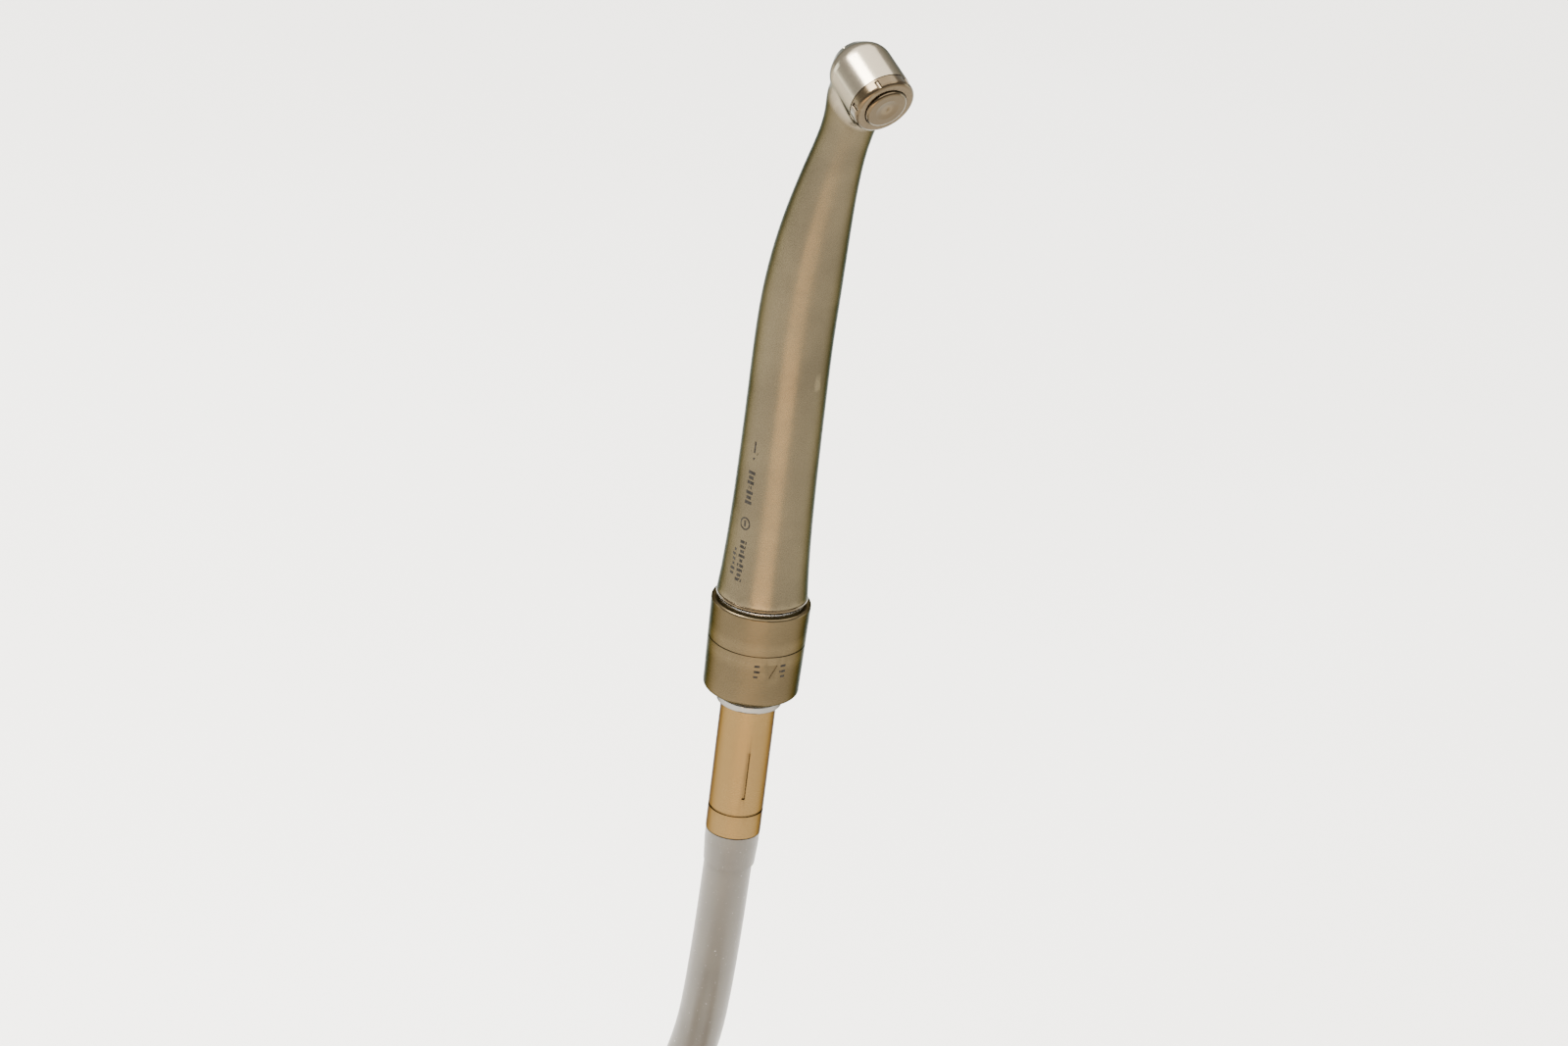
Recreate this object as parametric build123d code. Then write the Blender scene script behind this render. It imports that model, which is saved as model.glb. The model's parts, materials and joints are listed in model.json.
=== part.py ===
from build123d import *
import os
from math import atan2, cos, degrees, exp, pi, radians, sin, tan

# A high speed dental handpiece on its quick coupling and hose.
# Millimetres. The origin is the middle of the coupling's underside, the shoulder that sits in
# the instrument holder. +Z runs up the grip towards the head, and the neck bends towards +X.

# Grip, neck and head
BODY_Z = 20.4              # rear face of the handpiece
STRAIGHT = 45.0            # straight length of the grip above BODY_Z
BEND_RADIUS = 138.0        # centre line of the bent neck
BEND_ANGLE = 22.0          # turn of the neck, in degrees
HEAD_REACH = 5.5           # from the end of the bend to the head's axis
GRIP_RADIUS = 6.9
REAR_FLARE = 1.25          # how much wider the rear end is than the grip
FLARE_LENGTH = 14.0
NECK_RADIUS = 4.4
TAPER_START = 50.0         # stretch of the centre line where the grip narrows to the neck
TAPER_END = 94.0
TAPER_SKEW = 1.3
HEAD_FLARE = 0.5           # how far the neck widens into the head, away from the cap
HEAD_FLARE_LENGTH = 9.0
NECK_BLEND = 2.5           # radius of the blend between neck and head
SHELL_WALL = 1.0
TAIL_BORE = 6.3            # bore in the grip that holds the tail insert
TAIL_BORE_TOP = 48.0
HEAD_RADIUS = 5.7
NOSE = -6.4                # nose face, on the head's axis
NOSE_SHOULDER = -3.6       # where the nose starts to narrow
HEAD_TOP = 4.5             # where the back cap starts, on the head's axis
CAP_TOP = 6.7
BUTTON_TOP = 7.3
WALL_TO_CHAMBER = 6.3      # where the hollow neck ends, from the head's axis

# Turbine cartridge, along the head's axis
CHAMBER_RADIUS = 4.6
BEARING_OUTER = 3.175
BEARING_WIDTH = 2.38
PITCH_RADIUS = 2.38
BALL_RADIUS = 0.40
BALL_GROOVE = 0.42
BALL_COUNT = 8
SHAFT_RADIUS = 1.5875
FRONT_BEARING = -4.95      # lower face of each bearing
REAR_BEARING = 1.85
IMPELLER_LOW = -1.9
IMPELLER_HIGH = 1.5
IMPELLER_TIP = 4.3
IMPELLER_HUB = 2.6
BLADE_COUNT = 10
CHUCK_BORE = 0.81          # holds a 1.6 mm friction grip shank
CHUCK_LOW = -5.9
CHUCK_HIGH = 2.3
SEAL_OUTER = 3.75          # pocket for the bearing's sealing ring

# Coupling
SPIGOT_RADIUS = 5.0
SPIGOT_TOP = 43.0
SPIGOT_SEALS = [28.0, 32.0, 36.0, 40.0]
CORE_RADIUS = 6.0
CORE_LOW = -9.0
HOUSING_RADIUS = 7.7
HOUSING_NECK = 7.0
HOUSING_TOP = 19.5
SLEEVE_RADIUS = 8.6
SLEEVE_TOP_RADIUS = 8.95
SLEEVE_LOW = 1.2
SLEEVE_TOP = 18.9
SPRING_SEAT = 12.0
LIP_LOW = 17.4
LOCK_Z = 24.0
LOCK_BALL = 1.0
LOCK_ANGLES = [45, 135, 225, 315]
RUNNING = 0.05             # radial clearance of a turning fit
CLIP_Z = 18.95             # spring clip above the sleeve
CLIP_HEIGHT = 0.35
CLIP_GROOVE = 6.7

# Hose connector
COLLAR_RADIUS = 5.9
COLLAR_HEIGHT = 1.5
NUT_RADIUS = 5.0
NUT_BORE = 4.47
NUT_LOW = -27.5
INSERT_LOW = -14.0
RELIEF_LOW = -34.0
SLOT_ANGLE = -21.0         # spanner slot in the nut
MARK_ANGLE = -14.0         # release arrow on the sleeve

# Hose: straight out of the nut, down, and onto the surface below, where it is coiled
HOSE_RADIUS = 4.4
HOSE_ROUTE = [
    (0.0, 0.0, INSERT_LOW),
    (0.0, 0.0, -49.0),
    (-6.7, 1.8, -85.2),
    (-10.6, -19.1, -114.5),
    (-8.0, -52.2, -127.4),
    (13.0, -80.5, -130.9),
]
COIL_X = 47.92             # centre of the coil
COIL_Y = -33.55
LANE_OUTER = 58.5          # centre line of the coil's outermost turn
COIL_INNER = 29.6          # the coil's inner and upper outer radii
COIL_SHOULDER = 49.7
COIL_CREST = 56.3
LAYER = 8.9                # rise from the lower turns to the upper ones
TAIL_LANE = 51.8           # where the hose ends, on top of the coil
TAIL_ANGLE = 216.0         # degrees past the coil's first point
TIE_THICKNESS = 0.8
TIE_WIDTH = 9.0
TIE_ANGLE = 90.0
TAIL_COLLAR = 10.0
TAIL_NIPPLE = 8.0
TAIL_PORTS = [(0, 1.5, 1.2), (0, -1.5, 1.2), (-2.3, 0, 0.7), (2.3, 0, 0.7)]

FLOOR_Z = HOSE_ROUTE[-1][2] - HOSE_RADIUS
COIL_START = degrees(atan2(HOSE_ROUTE[-1][1] - COIL_Y, HOSE_ROUTE[-1][0] - COIL_X))
COIL_TOP = FLOOR_Z + 2 * HOSE_RADIUS + LAYER
BEND_TOP = BODY_Z + STRAIGHT


# ---- helpers ----------------------------------------------------------------------------------

def rod(radius, low, high):
    """A cylinder about Z from low to high."""
    return Pos(0, 0, low) * Cylinder(radius, high - low, align=(Align.CENTER, Align.CENTER, Align.MIN))


def tube(outer, inner, low, high):
    """A plain tube about Z."""
    return rod(outer, low, high) - rod(inner, low - 1, high + 1)


def turned(points):
    """A solid of revolution about Z, from (radius, z) corners."""
    outline = Polyline(*[(r, 0, z) for r, z in points], close=True)
    return revolve(make_face(outline), Axis.Z)


def circle_edges(solid, z):
    """The edges of a turned solid that lie at height z."""
    return solid.edges().filter_by_position(Axis.Z, z - 0.001, z + 0.001)


def helical_spring(mean_radius, wire, low, high, turns):
    """A compression spring about Z, of round wire."""
    rise = high - low - wire
    path = Pos(0, 0, low + wire / 2) * Helix(pitch=rise / turns, height=rise, radius=mean_radius)
    section = Plane(origin=path @ 0, z_dir=path % 0) * Circle(wire / 2)
    return sweep(section, path=path, is_frenet=True)


def around(count, start=0.0):
    """Turns about Z that repeat a feature evenly."""
    return [Rot(0, 0, start + 360 * i / count) for i in range(count)]


# ---- centre line of the grip and neck -----------------------------------------------------------

def line_point(s, offset=0.0, side=0.0):
    """The point at length s along the centre line, offset towards the cap and sideways."""
    if s <= STRAIGHT:
        return Vector(offset, side, BODY_Z + s)
    angle = min((s - STRAIGHT) / BEND_RADIUS, radians(BEND_ANGLE))
    beyond = s - STRAIGHT - BEND_RADIUS * angle
    reach = BEND_RADIUS - offset
    x = BEND_RADIUS - reach * cos(angle) + beyond * sin(angle)
    return Vector(x, side, BEND_TOP + reach * sin(angle) + beyond * cos(angle))


def line_direction(s):
    """The direction of the centre line at length s."""
    angle = 0.0 if s <= STRAIGHT else min((s - STRAIGHT) / BEND_RADIUS, radians(BEND_ANGLE))
    return Vector(sin(angle), 0, cos(angle))


def body_radius(s):
    """Outer radius of the grip and neck at length s."""
    share = min(max((s - TAPER_START) / (TAPER_END - TAPER_START), 0.0), 1.0) ** TAPER_SKEW
    step = share * share * (3 - 2 * share)
    return GRIP_RADIUS + REAR_FLARE * exp(-s / FLARE_LENGTH) - (GRIP_RADIUS - NECK_RADIUS) * step


def head_flare(s):
    """How much wider the neck is at length s, on its way into the head."""
    share = min(max(1 - (HEAD_S - 5.5 - s) / HEAD_FLARE_LENGTH, 0.0), 1.0)
    return HEAD_FLARE * share * share * (3 - 2 * share)


def section(s, radius, flare=0.0):
    """A round section across the centre line, grown by flare on the side away from the cap."""
    plane = Plane(origin=line_point(s, -flare), x_dir=(0, 1, 0), z_dir=line_direction(s))
    return plane * Circle(radius + flare)


BEND_LENGTH = BEND_RADIUS * radians(BEND_ANGLE)
HEAD_S = STRAIGHT + BEND_LENGTH + HEAD_REACH
NECK = line_direction(HEAD_S)
CAP_DIRECTION = Vector(NECK.Z, 0, -NECK.X)
# On the head, local Z points to the cap, and local X away from the neck.
HEAD = Location(Plane(origin=line_point(HEAD_S), x_dir=NECK, z_dir=CAP_DIRECTION))

# Air and water lines in the neck: (towards the cap, sideways, outer radius, inner radius)
DRIVE_LINE = (0.0, 2.0, 1.2, 0.95)
WATER_LINE = (-2.55, 0.75, 0.6, 0.4)
CHIP_LINE = (-2.55, -0.75, 0.6, 0.4)
EXHAUST = (0.0, -1.9, 1.3)


# ---- handpiece ----------------------------------------------------------------------------------

def lofted(start, end, steps, inset):
    """The form of the grip and neck from start to end, smaller all round by inset."""
    stations = [start + (end - start) * i / steps for i in range(steps + 1)]
    return loft([section(s, body_radius(s) - inset, head_flare(s)) for s in stations])


def head_block():
    """The head's outer form, a barrel with a rounded nose, on the head's own axis."""
    barrel = turned([
        (0, NOSE),
        (3.2, NOSE),
        (HEAD_RADIUS, NOSE_SHOULDER),
        (HEAD_RADIUS, HEAD_TOP),
        (0, HEAD_TOP),
    ])
    barrel = fillet(circle_edges(barrel, NOSE_SHOULDER), 4.0)
    return fillet(circle_edges(barrel, NOSE), 0.8)


def head_bores():
    """What is cut out of the head: bearing pocket, chamber, cap seat and nose hole."""
    return (
        rod(2.0, NOSE - 1, 0)
        + rod(SEAL_OUTER, -5.2, 0)
        + rod(CHAMBER_RADIUS, -2.3, 2)
        + rod(4.9, 1.75, HEAD_TOP + 1)
    )


def head_passages():
    """Air ports, line sockets and spray holes, on the head's own axis."""
    along = Rot(0, -90, 0)
    cuts = []
    for offset, side, radius in [(DRIVE_LINE[0], DRIVE_LINE[1], 1.25), EXHAUST]:
        cuts.append(Pos(0, -side, offset) * along * rod(radius, 2.5, WALL_TO_CHAMBER + 1))
    for offset, side, radius, _ in [WATER_LINE, CHIP_LINE]:
        cuts.append(Pos(0, -side, offset) * along * rod(radius + 0.03, 4.7, WALL_TO_CHAMBER + 1))
        cuts.append(Pos(-4.72, -side, 0) * rod(0.3, NOSE, offset))
    for turn in around(4, start=45.0):
        cuts.append(turn * Pos(3.75, 0, 0) * rod(0.25, NOSE, -5.3))
    return cuts


def body_shell():
    """Grip, neck and head housing, one hollow metal body."""
    outer = lofted(0, HEAD_S - 2.0, 18, 0.0) + HEAD * head_block()
    seams = outer.edges().filter_by(GeomType.BSPLINE)
    outer = fillet([seam for seam in seams if (seam.center() - HEAD.position).length < 12], NECK_BLEND)
    outer -= HEAD * head_bores()
    hollow_start = TAIL_BORE_TOP - BODY_Z - 0.5
    hollow = lofted(hollow_start, HEAD_S - WALL_TO_CHAMBER, 12, SHELL_WALL + 0.1)
    shell = outer - hollow - rod(TAIL_BORE, BODY_Z - 1, TAIL_BORE_TOP)
    for cut in head_passages():
        shell -= HEAD * cut
    return shell


def tail_insert():
    """The socket in the grip that the coupling's spigot plugs into."""
    bore = SPIGOT_RADIUS + RUNNING
    top = TAIL_BORE_TOP - 0.05
    body = rod(TAIL_BORE - 0.02, BODY_Z + 0.2, top) - rod(bore, BODY_Z, SPIGOT_TOP + 1)
    body -= tube(5.5, bore - 0.5, LOCK_Z - 1.1, LOCK_Z + 1.1)
    for offset, side, radius, _ in [DRIVE_LINE, WATER_LINE, CHIP_LINE]:
        body -= Pos(offset, side, 0) * rod(radius + 0.03, SPIGOT_TOP, top + 1)
    body -= Pos(1.0, -2.4, 0) * rod(1.4, SPIGOT_TOP, top + 1)
    return chamfer(circle_edges(body, BODY_Z + 0.2).sort_by(Edge.length)[:1], 0.4)


def line_tube(line, start_z, end_s):
    """An air or water tube that follows the bent neck."""
    offset, side, outer, inner = line
    start = Vector(offset, side, start_z)
    bend_in = line_point(STRAIGHT, offset, side)
    middle = line_point(STRAIGHT + BEND_LENGTH / 2, offset, side)
    bend_out = line_point(STRAIGHT + BEND_LENGTH, offset, side)
    end = line_point(end_s, offset, side)
    path = Line(start, bend_in) + ThreePointArc(bend_in, middle, bend_out) + Line(bend_out, end)
    return sweep(Pos(start) * (Circle(outer) - Circle(inner)), path=path)


# ---- turbine cartridge, each on the head's own axis ------------------------------------------------

def outer_race(low):
    ring = tube(BEARING_OUTER, 2.72, low, low + BEARING_WIDTH)
    return ring - Pos(0, 0, low + BEARING_WIDTH / 2) * Torus(PITCH_RADIUS, BALL_GROOVE)


def inner_race(low):
    ring = tube(2.04, SHAFT_RADIUS + 0.0125, low, low + BEARING_WIDTH)
    return ring - Pos(0, 0, low + BEARING_WIDTH / 2) * Torus(PITCH_RADIUS, BALL_GROOVE)


def ball_places(low):
    return [turn * Pos(PITCH_RADIUS, 0, low + BEARING_WIDTH / 2) for turn in around(BALL_COUNT)]


def bearing_balls(low):
    return Compound([place * Sphere(BALL_RADIUS) for place in ball_places(low)])


def bearing_cage(low):
    middle = low + BEARING_WIDTH / 2
    cage = tube(2.60, 2.16, middle - 0.8, middle + 0.8)
    for place in ball_places(low):
        cage -= place * Rot(0, 90, 0) * Cylinder(BALL_GROOVE, 1.0)
    return cage


def bearing_seal(low):
    """The rubber ring that carries a bearing in its pocket."""
    minor = (SEAL_OUTER - BEARING_OUTER) / 2 - 0.008
    return Pos(0, 0, low + BEARING_WIDTH / 2) * Torus(BEARING_OUTER + minor + 0.008, minor)


def impeller_blade():
    """One curved vane, standing out from the hub."""
    inner = IMPELLER_HUB - 0.3
    front = ThreePointArc((inner, 0.1), (3.5, 0.75), (IMPELLER_TIP - 0.1, 0.35))
    back = ThreePointArc((IMPELLER_TIP - 0.12, -0.1), (3.5, 0.25), (inner, -0.45))
    outline = front + Line(front @ 1, back @ 0) + back + Line(back @ 1, front @ 0)
    return Pos(0, 0, IMPELLER_LOW) * extrude(make_face(outline), IMPELLER_HIGH - IMPELLER_LOW)


def impeller():
    hub = rod(IMPELLER_HUB, IMPELLER_LOW, IMPELLER_HIGH)
    web = rod(IMPELLER_TIP - 0.4, -0.35, 0.05)
    blade = impeller_blade()
    wheel = hub + web + [turn * blade for turn in around(BLADE_COUNT)]
    return wheel - rod(SHAFT_RADIUS + 0.0125, IMPELLER_LOW - 1, IMPELLER_HIGH + 1)


def spindle():
    """The hollow turbine shaft."""
    shaft = rod(SHAFT_RADIUS, -6.1, 3.9) - rod(1.17, -7, 5)
    return chamfer(circle_edges(shaft, -6.1).sort_by(Edge.length)[-1:], 0.25)


def chuck():
    """The friction grip collet, slit three ways at its rear."""
    collet = tube(1.15, CHUCK_BORE, CHUCK_LOW, CHUCK_HIGH)
    for turn in around(3):
        collet -= turn * Pos(1.0, 0, 0) * Box(1.0, 0.2, 8.0)
    return collet


def chuck_plunger():
    """The pin that the button pushes to open the chuck."""
    return turned([(0, 2.35), (0.5, 2.35), (1.1, 3.1), (1.1, 4.3), (1.45, 4.3), (1.45, 4.75), (0, 4.75)])


def wave_washer():
    """Preload spring washer behind the rear bearing."""
    return tube(3.12, 2.75, REAR_BEARING + BEARING_WIDTH + 0.03, 4.53)


def back_cap():
    """The screwed cap that holds the rear bearing and carries the button."""
    skirt = tube(4.87, SEAL_OUTER, 1.78, HEAD_TOP + 0.1)
    disc = rod(HEAD_RADIUS - 0.1, HEAD_TOP + 0.08, CAP_TOP)
    disc = fillet(circle_edges(disc, CAP_TOP), 0.7)
    cap = skirt + disc - rod(1.7, 0, 9) - rod(3.95, 5.2, 9) - rod(SEAL_OUTER, 1, 4.56)
    for turn in around(6, start=30.0):
        cap -= turn * Pos(HEAD_RADIUS + 0.25, 0, 6.1) * Cylinder(0.55, 2.4)
    return cap


def push_button():
    """The domed release button in the cap."""
    rim = rod(3.85, 5.9, BUTTON_TOP)
    rim = fillet(circle_edges(rim, BUTTON_TOP), 0.55)
    rim -= tube(3.05, 1.25, 5, 6.3)
    return rim + rod(1.25, 5.0, 6.5) - Pos(0, 0, BUTTON_TOP + 14.85) * Sphere(15.0)


def button_spring():
    return helical_spring(2.15, 0.3, 5.23, 6.27, 2.0)


# ---- coupling -----------------------------------------------------------------------------------

CHANNELS = [(0, 2.2, 1.0), (0, -2.2, 1.2), (-2.6, 0, 0.6), (2.6, 0, 0.6)]


def coupler_core():
    """The core that carries drive air, exhaust, spray air and water up into the spigot."""
    core = rod(NUT_BORE - 0.07, CORE_LOW, 0.6) + rod(CORE_RADIUS, 0.6, HOUSING_TOP)
    core += rod(SPIGOT_RADIUS, HOUSING_TOP, SPIGOT_TOP)
    core = chamfer(circle_edges(core, SPIGOT_TOP), 0.6)
    for z in SPIGOT_SEALS:
        core -= tube(6.5, 4.15, z - 0.6, z + 0.6)
    tops = [SPIGOT_TOP + 1, SPIGOT_TOP + 1, 30.0, 34.0]
    for (x, y, radius), top in zip(CHANNELS, tops):
        core -= Pos(x, y, 0) * rod(radius, CORE_LOW - 1, top)
    core -= Pos(0, 0, 30) * Rot(0, -90, 0) * rod(0.5, 2.6, 6)
    core -= Pos(0, 0, 34) * Rot(0, 90, 0) * rod(0.5, 2.6, 6)
    core -= Pos(2.6, 0, 0) * rod(1.0, CORE_LOW - 1, CORE_LOW + 3)
    for angle in LOCK_ANGLES:
        core -= Rot(0, 0, angle) * Pos(0, 0, LOCK_Z) * Rot(0, 90, 0) * rod(LOCK_BALL + 0.03, 2.9, 6)
    return core


def lock_balls():
    """Four detent balls, drawn in flush with the spigot."""
    reach = SPIGOT_RADIUS - LOCK_BALL - 0.05
    return Compound([Rot(0, 0, a) * Pos(reach, 0, LOCK_Z) * Sphere(LOCK_BALL) for a in LOCK_ANGLES])


def spigot_seals():
    return Compound([Pos(0, 0, z) * Torus(4.59, 0.42) for z in SPIGOT_SEALS])


def coupler_housing():
    """The fixed rear body of the coupling, rounded where it sits in the holder."""
    bore = CORE_RADIUS + 0.02
    return turned([
        (bore, 0.0),
        (6.3, 0.0),
        (7.2, 0.7),
        (HOUSING_RADIUS, 2.4),
        (HOUSING_RADIUS, SPRING_SEAT),
        (HOUSING_NECK, SPRING_SEAT),
        (HOUSING_NECK, HOUSING_TOP),
        (bore, HOUSING_TOP),
    ]) - tube(8, CLIP_GROOVE, CLIP_Z - 0.02, CLIP_Z + CLIP_HEIGHT + 0.02)


def retaining_clip():
    """The open spring clip that stops the sleeve's lip."""
    clip = tube(7.75, CLIP_GROOVE + 0.02, CLIP_Z, CLIP_Z + CLIP_HEIGHT)
    return clip - Pos(0, 7.2, CLIP_Z) * Box(2.4, 3, 2)


def sleeve_spring():
    middle = (HOUSING_NECK + HOUSING_RADIUS + RUNNING) / 2
    return helical_spring(middle, 0.5, SPRING_SEAT + 0.02, LIP_LOW - 0.02, 5.0)


def coupler_sleeve():
    """The outer sleeve that is drawn back to release the handpiece."""
    sleeve = turned([
        (0, SLEEVE_LOW),
        (SLEEVE_RADIUS, SLEEVE_LOW),
        (SLEEVE_TOP_RADIUS, SLEEVE_TOP),
        (0, SLEEVE_TOP),
    ])
    sleeve = fillet(circle_edges(sleeve, SLEEVE_LOW), 0.75)
    sleeve = fillet(circle_edges(sleeve, SLEEVE_TOP), 0.5)
    sleeve -= tube(10, SLEEVE_RADIUS + 0.05, 11.3, 11.55)
    sleeve -= rod(HOUSING_RADIUS + RUNNING + 0.02, SLEEVE_LOW - 1, LIP_LOW)
    sleeve -= rod(HOUSING_NECK + RUNNING + 0.02, LIP_LOW - 1, SLEEVE_TOP + 1)
    arrow = make_face(Polyline((-1.3, 1.2), (1.3, 1.2), (0, -1.5), close=True))
    face = Plane(origin=(SLEEVE_RADIUS, 0, 8.6), x_dir=(0, 1, 0), z_dir=(1, 0, 0))
    return sleeve - Rot(0, 0, MARK_ANGLE) * extrude(face * arrow, 1)


def swivel_ring():
    """The bright bearing ring between the coupling and the handpiece."""
    ring = tube(8.2, SPIGOT_RADIUS + RUNNING, HOUSING_TOP + 0.1, BODY_Z - 0.05)
    return fillet(ring.edges().filter_by(GeomType.CIRCLE).sort_by(Edge.length)[-2:], 0.3)


def water_check_valve():
    """The rubber valve that stops water being drawn back."""
    valve = rod(0.96, CORE_LOW + 0.02, CORE_LOW + 1.6) + Pos(0, 0, CORE_LOW + 1.5) * Cone(
        0.9, 0.35, 1.3, align=(Align.CENTER, Align.CENTER, Align.MIN)
    )
    return Pos(2.6, 0, 0) * (valve - rod(0.3, CORE_LOW - 1, CORE_LOW + 2.2))


# ---- hose connector -------------------------------------------------------------------------------

def four_port_disc(low, high):
    """A disc with the four standard ports."""
    disc = rod(NUT_BORE - 0.07, low, high)
    for x, y, radius in CHANNELS:
        disc -= Pos(x, y, 0) * rod(radius, low - 1, high + 1)
    return disc


def rear_collar():
    collar = tube(COLLAR_RADIUS, NUT_BORE + 0.02, -COLLAR_HEIGHT, -0.02)
    return fillet(collar.edges().filter_by(GeomType.CIRCLE).sort_by(Edge.length)[-2:], 0.35)


def hose_nut():
    """The long sleeve nut that clamps the hose to the coupling."""
    top = -COLLAR_HEIGHT - 0.05
    nut = tube(NUT_RADIUS, NUT_BORE, NUT_LOW, top)
    nut = chamfer(circle_edges(nut, NUT_LOW).sort_by(Edge.length)[-1:], 0.2)
    nut -= tube(6, NUT_RADIUS - 0.2, NUT_LOW + 4.6, NUT_LOW + 5.1)
    slot = Pos(NUT_RADIUS, 0, -14.5) * Box(0.7, 0.6, 9.5)
    return nut - Rot(0, 0, SLOT_ANGLE) * slot


def strain_relief():
    """The short tapered rubber sleeve where the hose leaves the nut."""
    return turned([
        (HOSE_RADIUS + 0.03, NUT_LOW - 0.02),
        (NUT_RADIUS - 0.05, NUT_LOW - 0.02),
        (NUT_RADIUS - 0.1, NUT_LOW - 2.5),
        (HOSE_RADIUS + 0.25, RELIEF_LOW),
        (HOSE_RADIUS + 0.03, RELIEF_LOW),
    ])


def hose_radii():
    """One bend radius for each inner point of the route."""
    points = [Vector(*p) for p in HOSE_ROUTE]
    radii = []
    for before, here, after in zip(points, points[1:], points[2:]):
        turn = (here - before).get_angle(after - here)
        shorter = min((here - before).length, (after - here).length)
        radii.append(0.45 * shorter / tan(radians(turn / 2)))
    return radii


def hose_tube():
    """The hose from the connector to where its coil starts."""
    radii = hose_radii()
    path = FilletPolyline(*HOSE_ROUTE, radius=radii)
    hose = sweep(Plane(origin=path @ 0, z_dir=path % 0) * Circle(HOSE_RADIUS), path=path)
    print("hose bend radii:", [round(r, 1) for r in radii])
    print("hose tube volume over section times length:", hose.volume / (pi * HOSE_RADIUS**2 * path.length))
    return hose


def coil_place():
    """The coil's centre, turned so that local +X points to where the coil starts."""
    return Pos(COIL_X, COIL_Y, 0) * Rot(0, 0, COIL_START)


def hose_coil():
    """The outer shape of the coiled hose: three turns on the surface and two on top of them."""
    outer = LANE_OUTER + HOSE_RADIUS
    middle = FLOOR_Z + 2 * HOSE_RADIUS
    lower = tube(outer, COIL_INNER, FLOOR_Z, middle)
    upper = tube(COIL_SHOULDER, COIL_INNER, middle, COIL_TOP)
    width = COIL_CREST - COIL_SHOULDER
    profile = Pos(COIL_SHOULDER + width / 2, 0, middle + LAYER / 2) * Rot(90, 0, 0) * Rectangle(width, LAYER)
    crest = revolve(profile, Axis.Z, TAIL_ANGLE)
    lower = fillet(circle_edges(lower, FLOOR_Z), 2.5)
    return coil_place() * (lower + upper + crest)


def coil_tie():
    """The strap that holds the coil together."""
    outer = LANE_OUTER + HOSE_RADIUS + 0.02
    length = outer - COIL_INNER + 0.04
    height = COIL_TOP - FLOOR_Z + 0.04
    middle = Pos(COIL_INNER - 0.02 + length / 2, 0, (COIL_TOP + FLOOR_Z) / 2)
    strap = Box(length + 2 * TIE_THICKNESS, TIE_WIDTH, height + 2 * TIE_THICKNESS)
    strap = fillet(strap.edges().filter_by(Axis.Y), 2.5)
    window = Box(length, TIE_WIDTH + 2, height)
    window = fillet(window.edges().filter_by(Axis.Y), 1.8)
    return coil_place() * Rot(0, 0, TIE_ANGLE) * middle * (strap - window)


def tail_place():
    """The hose's end on the coil, with local +Z along the hose."""
    on_top = Pos(TAIL_LANE, 0, FLOOR_Z + HOSE_RADIUS + LAYER)
    return coil_place() * Rot(0, 0, TAIL_ANGLE) * on_top * Rot(-90, 0, 0)


def tail_collar():
    """The crimped sleeve on the hose's unit end."""
    collar = rod(HOSE_RADIUS, 0, TAIL_COLLAR)
    collar -= tube(6, HOSE_RADIUS - 0.25, 2.4, 3.2) + tube(6, HOSE_RADIUS - 0.25, 5.2, 6.0)
    for x, y, radius in TAIL_PORTS:
        collar -= Pos(x, y, 0) * rod(radius - 0.25, TAIL_COLLAR - 3, TAIL_COLLAR + 1)
    return tail_place() * collar


def tail_nipples():
    """Four barbed tube ends that plug into the delivery unit."""
    nipples = []
    for x, y, radius in TAIL_PORTS:
        nipple = tube(radius, radius - 0.25, TAIL_COLLAR + 0.02, TAIL_COLLAR + TAIL_NIPPLE)
        barb = TAIL_COLLAR + TAIL_NIPPLE - 2.2
        nipple += tube(radius + 0.2, radius - 0.25, barb, barb + 0.7)
        nipples.append(Pos(x, y, 0) * nipple)
    return tail_place() * Compound(nipples)


# ---- nodes ------------------------------------------------------------------------------------------

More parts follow.
